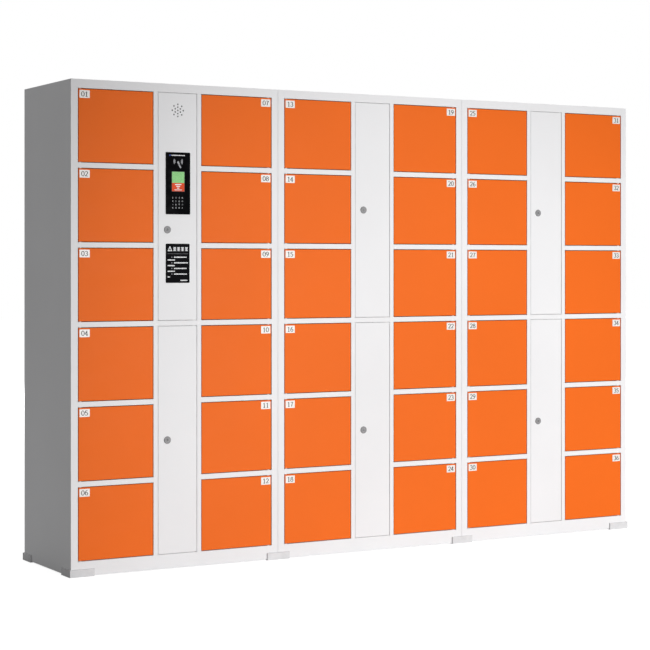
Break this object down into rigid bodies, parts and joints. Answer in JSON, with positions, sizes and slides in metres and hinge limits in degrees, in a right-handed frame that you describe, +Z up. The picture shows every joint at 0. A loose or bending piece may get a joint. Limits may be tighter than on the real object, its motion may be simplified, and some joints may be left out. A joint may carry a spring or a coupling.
{
  "type": "electronic locker bank",
  "caption": "Free-standing steel locker bank: cabinets with columns of hinged compartment doors, keyed access doors and an electronic terminal.",
  "frame": {"origin": "on the floor below the middle of the bank", "axes": "+X to the right along the bank, -Y out of the doors, +Z up"},
  "size_m": [2.555, 0.488, 1.803],
  "materials": {
    "white_steel": "satin powder coat",
    "inner_steel": "satin powder coat",
    "orange_steel": "satin powder coat",
    "box_steel": "satin powder coat",
    "foot_plastic": "fine moulded texture",
    "lock_steel": "zinc plated",
    "lock_chrome": "polished",
    "terminal_glass": "glossy",
    "terminal_plastic": "moulded",
    "speaker_plastic": "moulded"
  },
  "bodies": {
    "cabinets": {"side_panels": "white_steel", "back_panels": "white_steel", "roof_panels": "white_steel", "front_frames": "white_steel", "column_partitions": "inner_steel", "shelves_and_floors": "inner_steel", "base_feet": "foot_plastic", "electric_locks": "lock_steel", "control_box": "box_steel"},
    "compartment_door_06": {"compartment_door_06": "orange_steel"},
    "compartment_door_05": {"compartment_door_05": "orange_steel"},
    "compartment_door_04": {"compartment_door_04": "orange_steel"},
    "compartment_door_03": {"compartment_door_03": "orange_steel"},
    "compartment_door_02": {"compartment_door_02": "orange_steel"},
    "compartment_door_01": {"compartment_door_01": "orange_steel"},
    "compartment_door_12": {"compartment_door_12": "orange_steel"},
    "compartment_door_11": {"compartment_door_11": "orange_steel"},
    "compartment_door_10": {"compartment_door_10": "orange_steel"},
    "compartment_door_09": {"compartment_door_09": "orange_steel"},
    "compartment_door_08": {"compartment_door_08": "orange_steel"},
    "compartment_door_07": {"compartment_door_07": "orange_steel"},
    "compartment_door_18": {"compartment_door_18": "orange_steel"},
    "compartment_door_17": {"compartment_door_17": "orange_steel"},
    "compartment_door_16": {"compartment_door_16": "orange_steel"},
    "compartment_door_15": {"compartment_door_15": "orange_steel"},
    "compartment_door_14": {"compartment_door_14": "orange_steel"},
    "compartment_door_13": {"compartment_door_13": "orange_steel"},
    "compartment_door_24": {"compartment_door_24": "orange_steel"},
    "compartment_door_23": {"compartment_door_23": "orange_steel"},
    "compartment_door_22": {"compartment_door_22": "orange_steel"},
    "compartment_door_21": {"compartment_door_21": "orange_steel"},
    "compartment_door_20": {"compartment_door_20": "orange_steel"},
    "compartment_door_19": {"compartment_door_19": "orange_steel"},
    "compartment_door_30": {"compartment_door_30": "orange_steel"},
    "compartment_door_29": {"compartment_door_29": "orange_steel"},
    "compartment_door_28": {"compartment_door_28": "orange_steel"},
    "compartment_door_27": {"compartment_door_27": "orange_steel"},
    "compartment_door_26": {"compartment_door_26": "orange_steel"},
    "compartment_door_25": {"compartment_door_25": "orange_steel"},
    "compartment_door_36": {"compartment_door_36": "orange_steel"},
    "compartment_door_35": {"compartment_door_35": "orange_steel"},
    "compartment_door_34": {"compartment_door_34": "orange_steel"},
    "compartment_door_33": {"compartment_door_33": "orange_steel"},
    "compartment_door_32": {"compartment_door_32": "orange_steel"},
    "compartment_door_31": {"compartment_door_31": "orange_steel"},
    "access_door_1_lower": {"access_door_1_lower": "white_steel"},
    "cam_lock_1_lower": {"cam_lock_1_lower": "lock_chrome"},
    "access_door_1_upper": {"access_door_1_upper": "white_steel", "terminal_panel": "terminal_glass", "terminal_housing": "terminal_plastic", "speaker": "speaker_plastic"},
    "cam_lock_1_upper": {"cam_lock_1_upper": "lock_chrome"},
    "access_door_2_lower": {"access_door_2_lower": "white_steel"},
    "cam_lock_2_lower": {"cam_lock_2_lower": "lock_chrome"},
    "access_door_2_upper": {"access_door_2_upper": "white_steel"},
    "cam_lock_2_upper": {"cam_lock_2_upper": "lock_chrome"},
    "access_door_3_lower": {"access_door_3_lower": "white_steel"},
    "cam_lock_3_lower": {"cam_lock_3_lower": "lock_chrome"},
    "access_door_3_upper": {"access_door_3_upper": "white_steel"},
    "cam_lock_3_upper": {"cam_lock_3_upper": "lock_chrome"}
  },
  "joints": [
    {"name": "access_1_upper_hinge", "type": "hinge", "parent": "cabinets", "child": "access_door_1_upper", "pos_m": [-0.7789, -0.229, 1.3468], "axis": [0, 0, 1], "range_deg": [0, 90]},
    {"name": "access_1_lower_hinge", "type": "hinge", "parent": "cabinets", "child": "access_door_1_lower", "pos_m": [-0.7789, -0.229, 0.4798], "axis": [0, 0, 1], "range_deg": [0, 90]},
    {"name": "cam_lock_1_upper_turn", "type": "hinge", "parent": "access_door_1_upper", "child": "cam_lock_1_upper", "pos_m": [-0.8896, -0.238, 1.2608], "axis": [0, 1, 0], "range_deg": [0, 90]},
    {"name": "cam_lock_1_lower_turn", "type": "hinge", "parent": "access_door_1_lower", "child": "cam_lock_1_lower", "pos_m": [-0.8896, -0.238, 0.4798], "axis": [0, 1, 0], "range_deg": [0, 90]},
    {"name": "compartment_01_hinge", "type": "hinge", "parent": "cabinets", "child": "compartment_door_01", "pos_m": [-1.2334, -0.229, 1.6358], "axis": [0, 0, -1], "range_deg": [0, 90]},
    {"name": "compartment_07_hinge", "type": "hinge", "parent": "cabinets", "child": "compartment_door_07", "pos_m": [-0.4626, -0.229, 1.6358], "axis": [0, 0, 1], "range_deg": [0, 90]},
    {"name": "compartment_13_hinge", "type": "hinge", "parent": "cabinets", "child": "compartment_door_13", "pos_m": [-0.3854, -0.229, 1.6358], "axis": [0, 0, -1], "range_deg": [0, 90]},
    {"name": "compartment_19_hinge", "type": "hinge", "parent": "cabinets", "child": "compartment_door_19", "pos_m": [0.3854, -0.229, 1.6358], "axis": [0, 0, 1], "range_deg": [0, 90]},
    {"name": "compartment_25_hinge", "type": "hinge", "parent": "cabinets", "child": "compartment_door_25", "pos_m": [0.4626, -0.229, 1.6358], "axis": [0, 0, -1], "range_deg": [0, 90]},
    {"name": "compartment_31_hinge", "type": "hinge", "parent": "cabinets", "child": "compartment_door_31", "pos_m": [1.2334, -0.229, 1.6358], "axis": [0, 0, 1], "range_deg": [0, 90]},
    {"name": "compartment_08_hinge", "type": "hinge", "parent": "cabinets", "child": "compartment_door_08", "pos_m": [-0.4626, -0.229, 1.3468], "axis": [0, 0, 1], "range_deg": [0, 90]},
    {"name": "compartment_09_hinge", "type": "hinge", "parent": "cabinets", "child": "compartment_door_09", "pos_m": [-0.4626, -0.229, 1.0578], "axis": [0, 0, 1], "range_deg": [0, 90]},
    {"name": "compartment_10_hinge", "type": "hinge", "parent": "cabinets", "child": "compartment_door_10", "pos_m": [-0.4626, -0.229, 0.7688], "axis": [0, 0, 1], "range_deg": [0, 90]},
    {"name": "compartment_11_hinge", "type": "hinge", "parent": "cabinets", "child": "compartment_door_11", "pos_m": [-0.4626, -0.229, 0.4798], "axis": [0, 0, 1], "range_deg": [0, 90]},
    {"name": "compartment_12_hinge", "type": "hinge", "parent": "cabinets", "child": "compartment_door_12", "pos_m": [-0.4626, -0.229, 0.1908], "axis": [0, 0, 1], "range_deg": [0, 90]},
    {"name": "compartment_14_hinge", "type": "hinge", "parent": "cabinets", "child": "compartment_door_14", "pos_m": [-0.3854, -0.229, 1.3468], "axis": [0, 0, -1], "range_deg": [0, 90]},
    {"name": "compartment_15_hinge", "type": "hinge", "parent": "cabinets", "child": "compartment_door_15", "pos_m": [-0.3854, -0.229, 1.0578], "axis": [0, 0, -1], "range_deg": [0, 90]},
    {"name": "compartment_16_hinge", "type": "hinge", "parent": "cabinets", "child": "compartment_door_16", "pos_m": [-0.3854, -0.229, 0.7688], "axis": [0, 0, -1], "range_deg": [0, 90]},
    {"name": "compartment_17_hinge", "type": "hinge", "parent": "cabinets", "child": "compartment_door_17", "pos_m": [-0.3854, -0.229, 0.4798], "axis": [0, 0, -1], "range_deg": [0, 90]},
    {"name": "compartment_18_hinge", "type": "hinge", "parent": "cabinets", "child": "compartment_door_18", "pos_m": [-0.3854, -0.229, 0.1908], "axis": [0, 0, -1], "range_deg": [0, 90]},
    {"name": "compartment_20_hinge", "type": "hinge", "parent": "cabinets", "child": "compartment_door_20", "pos_m": [0.3854, -0.229, 1.3468], "axis": [0, 0, 1], "range_deg": [0, 90]},
    {"name": "compartment_21_hinge", "type": "hinge", "parent": "cabinets", "child": "compartment_door_21", "pos_m": [0.3854, -0.229, 1.0578], "axis": [0, 0, 1], "range_deg": [0, 90]},
    {"name": "compartment_22_hinge", "type": "hinge", "parent": "cabinets", "child": "compartment_door_22", "pos_m": [0.3854, -0.229, 0.7688], "axis": [0, 0, 1], "range_deg": [0, 90]},
    {"name": "compartment_23_hinge", "type": "hinge", "parent": "cabinets", "child": "compartment_door_23", "pos_m": [0.3854, -0.229, 0.4798], "axis": [0, 0, 1], "range_deg": [0, 90]},
    {"name": "compartment_24_hinge", "type": "hinge", "parent": "cabinets", "child": "compartment_door_24", "pos_m": [0.3854, -0.229, 0.1908], "axis": [0, 0, 1], "range_deg": [0, 90]},
    {"name": "compartment_26_hinge", "type": "hinge", "parent": "cabinets", "child": "compartment_door_26", "pos_m": [0.4626, -0.229, 1.3468], "axis": [0, 0, -1], "range_deg": [0, 90]},
    {"name": "compartment_27_hinge", "type": "hinge", "parent": "cabinets", "child": "compartment_door_27", "pos_m": [0.4626, -0.229, 1.0578], "axis": [0, 0, -1], "range_deg": [0, 90]},
    {"name": "compartment_28_hinge", "type": "hinge", "parent": "cabinets", "child": "compartment_door_28", "pos_m": [0.4626, -0.229, 0.7688], "axis": [0, 0, -1], "range_deg": [0, 90]},
    {"name": "compartment_29_hinge", "type": "hinge", "parent": "cabinets", "child": "compartment_door_29", "pos_m": [0.4626, -0.229, 0.4798], "axis": [0, 0, -1], "range_deg": [0, 90]},
    {"name": "access_2_upper_hinge", "type": "hinge", "parent": "cabinets", "child": "access_door_2_upper", "pos_m": [0.0691, -0.229, 1.3468], "axis": [0, 0, 1], "range_deg": [0, 90]},
    {"name": "access_2_lower_hinge", "type": "hinge", "parent": "cabinets", "child": "access_door_2_lower", "pos_m": [0.0691, -0.229, 0.4798], "axis": [0, 0, 1], "range_deg": [0, 90]},
    {"name": "access_3_upper_hinge", "type": "hinge", "parent": "cabinets", "child": "access_door_3_upper", "pos_m": [0.9171, -0.229, 1.3468], "axis": [0, 0, 1], "range_deg": [0, 90]},
    {"name": "access_3_lower_hinge", "type": "hinge", "parent": "cabinets", "child": "access_door_3_lower", "pos_m": [0.9171, -0.229, 0.4798], "axis": [0, 0, 1], "range_deg": [0, 90]},
    {"name": "cam_lock_2_upper_turn", "type": "hinge", "parent": "access_door_2_upper", "child": "cam_lock_2_upper", "pos_m": [-0.0416, -0.238, 1.3468], "axis": [0, 1, 0], "range_deg": [0, 90]},
    {"name": "cam_lock_2_lower_turn", "type": "hinge", "parent": "access_door_2_lower", "child": "cam_lock_2_lower", "pos_m": [-0.0416, -0.238, 0.4798], "axis": [0, 1, 0], "range_deg": [0, 90]},
    {"name": "cam_lock_3_upper_turn", "type": "hinge", "parent": "access_door_3_upper", "child": "cam_lock_3_upper", "pos_m": [0.8064, -0.238, 1.3468], "axis": [0, 1, 0], "range_deg": [0, 90]},
    {"name": "cam_lock_3_lower_turn", "type": "hinge", "parent": "access_door_3_lower", "child": "cam_lock_3_lower", "pos_m": [0.8064, -0.238, 0.4798], "axis": [0, 1, 0], "range_deg": [0, 90]},
    {"name": "compartment_30_hinge", "type": "hinge", "parent": "cabinets", "child": "compartment_door_30", "pos_m": [0.4626, -0.229, 0.1908], "axis": [0, 0, -1], "range_deg": [0, 90]},
    {"name": "compartment_32_hinge", "type": "hinge", "parent": "cabinets", "child": "compartment_door_32", "pos_m": [1.2334, -0.229, 1.3468], "axis": [0, 0, 1], "range_deg": [0, 90]},
    {"name": "compartment_33_hinge", "type": "hinge", "parent": "cabinets", "child": "compartment_door_33", "pos_m": [1.2334, -0.229, 1.0578], "axis": [0, 0, 1], "range_deg": [0, 90]},
    {"name": "compartment_34_hinge", "type": "hinge", "parent": "cabinets", "child": "compartment_door_34", "pos_m": [1.2334, -0.229, 0.7688], "axis": [0, 0, 1], "range_deg": [0, 90]},
    {"name": "compartment_35_hinge", "type": "hinge", "parent": "cabinets", "child": "compartment_door_35", "pos_m": [1.2334, -0.229, 0.4798], "axis": [0, 0, 1], "range_deg": [0, 90]},
    {"name": "compartment_36_hinge", "type": "hinge", "parent": "cabinets", "child": "compartment_door_36", "pos_m": [1.2334, -0.229, 0.1908], "axis": [0, 0, 1], "range_deg": [0, 90]},
    {"name": "compartment_02_hinge", "type": "hinge", "parent": "cabinets", "child": "compartment_door_02", "pos_m": [-1.2334, -0.229, 1.3468], "axis": [0, 0, -1], "range_deg": [0, 90]},
    {"name": "compartment_03_hinge", "type": "hinge", "parent": "cabinets", "child": "compartment_door_03", "pos_m": [-1.2334, -0.229, 1.0578], "axis": [0, 0, -1], "range_deg": [0, 90]},
    {"name": "compartment_04_hinge", "type": "hinge", "parent": "cabinets", "child": "compartment_door_04", "pos_m": [-1.2334, -0.229, 0.7688], "axis": [0, 0, -1], "range_deg": [0, 90]},
    {"name": "compartment_05_hinge", "type": "hinge", "parent": "cabinets", "child": "compartment_door_05", "pos_m": [-1.2334, -0.229, 0.4798], "axis": [0, 0, -1], "range_deg": [0, 90]},
    {"name": "compartment_06_hinge", "type": "hinge", "parent": "cabinets", "child": "compartment_door_06", "pos_m": [-1.2334, -0.229, 0.1908], "axis": [0, 0, -1], "range_deg": [0, 90]}
  ]
}
